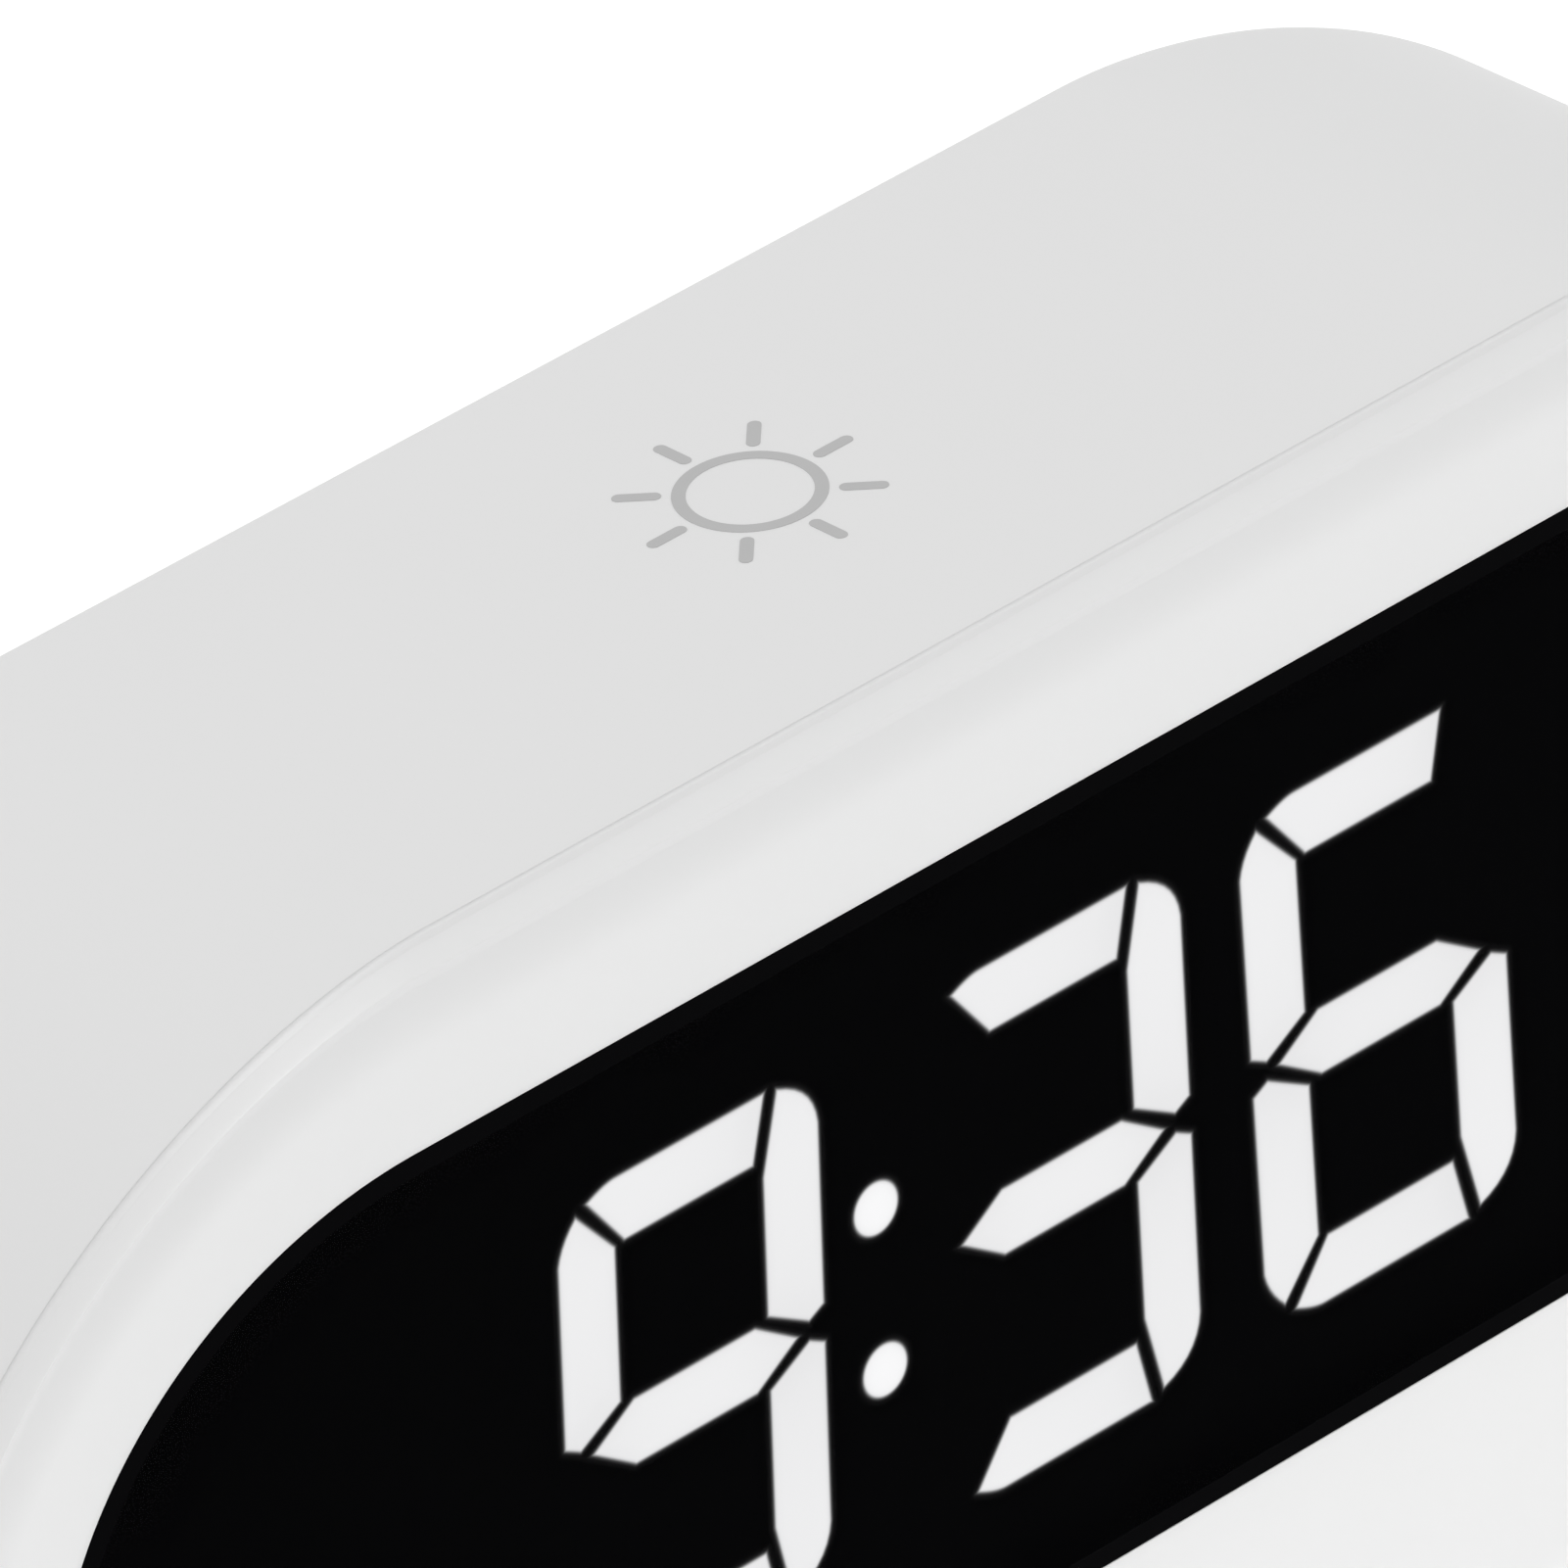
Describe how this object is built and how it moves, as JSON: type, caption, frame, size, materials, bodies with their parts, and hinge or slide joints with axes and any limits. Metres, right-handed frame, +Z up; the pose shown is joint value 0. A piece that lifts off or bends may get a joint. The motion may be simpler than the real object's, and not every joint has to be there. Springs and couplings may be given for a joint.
{
  "type": "alarm clock",
  "caption": "Bedside alarm clock: long rounded white case, domed bezel round a black window with glowing bar-style figures, sun touch key on top, keys and battery door at the back.",
  "frame": {"origin": "middle of the bounding box's bottom, on the surface that the feet stand on", "axes": "+X to the right of someone facing the display, +Y towards the back, +Z up"},
  "size_m": [0.1916, 0.0494, 0.0932],
  "materials": {
    "shell_abs": "fine moulded texture",
    "bezel_abs": "satin moulded",
    "key_abs": "satin moulded",
    "tinted_window": "polished, almost black tint",
    "foam_tape": "matt",
    "black_plastic": "matt moulded",
    "milky_resin": "translucent, lit from behind",
    "circuit_board": "solder mask",
    "chip_epoxy": "moulded epoxy",
    "nylon": "natural",
    "cable_pvc": "flat cable",
    "screw_steel": "zinc plated",
    "nickel_plate": "bright nickel",
    "foot_rubber": "matt",
    "copper_foil": "copper"
  },
  "bodies": {
    "case": {"rear_shell": "shell_abs", "front_bezel": "bezel_abs", "display_window": "tinted_window", "window_tape": "foam_tape", "segment_reflector": "black_plastic", "light_insert_leading": "milky_resin", "light_insert_hours": "milky_resin", "light_insert_tens": "milky_resin", "light_insert_units": "milky_resin", "light_insert_colon": "milky_resin", "display_board": "circuit_board", "main_board": "circuit_board", "display_driver": "chip_epoxy", "clock_chip": "chip_epoxy", "display_socket": "nylon", "board_socket": "nylon", "ribbon_cable": "cable_pvc", "display_screw_left": "screw_steel", "board_screw_left": "screw_steel", "display_screw_right": "screw_steel", "board_screw_right": "screw_steel", "case_screw_upper_left": "screw_steel", "case_screw_upper_right": "screw_steel", "case_screw_lower_left": "screw_steel", "case_screw_lower_right": "screw_steel", "foot_front_left": "foot_rubber", "foot_front_right": "foot_rubber", "foot_back_left": "foot_rubber", "foot_back_right": "foot_rubber", "crystal_can": "nickel_plate", "supply_capacitor": "black_plastic", "buzzer": "black_plastic", "usb_socket": "nickel_plate", "usb_tongue": "black_plastic", "cell_cradle": "black_plastic", "cell_contact_inner": "nickel_plate", "cell_contact_outer": "nickel_plate", "coin_cell": "nickel_plate", "touch_pad": "copper_foil", "touch_lead": "copper_foil", "switch_mode": "chip_epoxy", "switch_down": "chip_epoxy", "switch_up": "chip_epoxy", "switch_alarm": "chip_epoxy"},
    "key_mode_set": {"key_mode": "key_abs", "plunger_mode": "nylon"},
    "key_down_set": {"key_down": "key_abs", "plunger_down": "nylon"},
    "key_up_set": {"key_up": "key_abs", "plunger_up": "nylon"},
    "key_alarm_set": {"key_alarm": "key_abs", "plunger_alarm": "nylon"},
    "battery_door": {"battery_door": "shell_abs"}
  },
  "joints": [
    {"name": "press_mode", "type": "slide", "parent": "case", "child": "key_mode_set", "axis": [0, -1, 0], "range_m": [0, 0.0008], "stiffness_N_per_m": 2500},
    {"name": "press_down", "type": "slide", "parent": "case", "child": "key_down_set", "axis": [0, -1, 0], "range_m": [0, 0.0008], "stiffness_N_per_m": 2500},
    {"name": "press_up", "type": "slide", "parent": "case", "child": "key_up_set", "axis": [0, -1, 0], "range_m": [0, 0.0008], "stiffness_N_per_m": 2500},
    {"name": "press_alarm", "type": "slide", "parent": "case", "child": "key_alarm_set", "axis": [0, -1, 0], "range_m": [0, 0.0008], "stiffness_N_per_m": 2500},
    {"name": "turn_battery_door", "type": "hinge", "parent": "case", "child": "battery_door", "pos_m": [0.034, 0.02375, 0.0451], "axis": [0, 1, 0], "range_deg": [0, 45]}
  ]
}
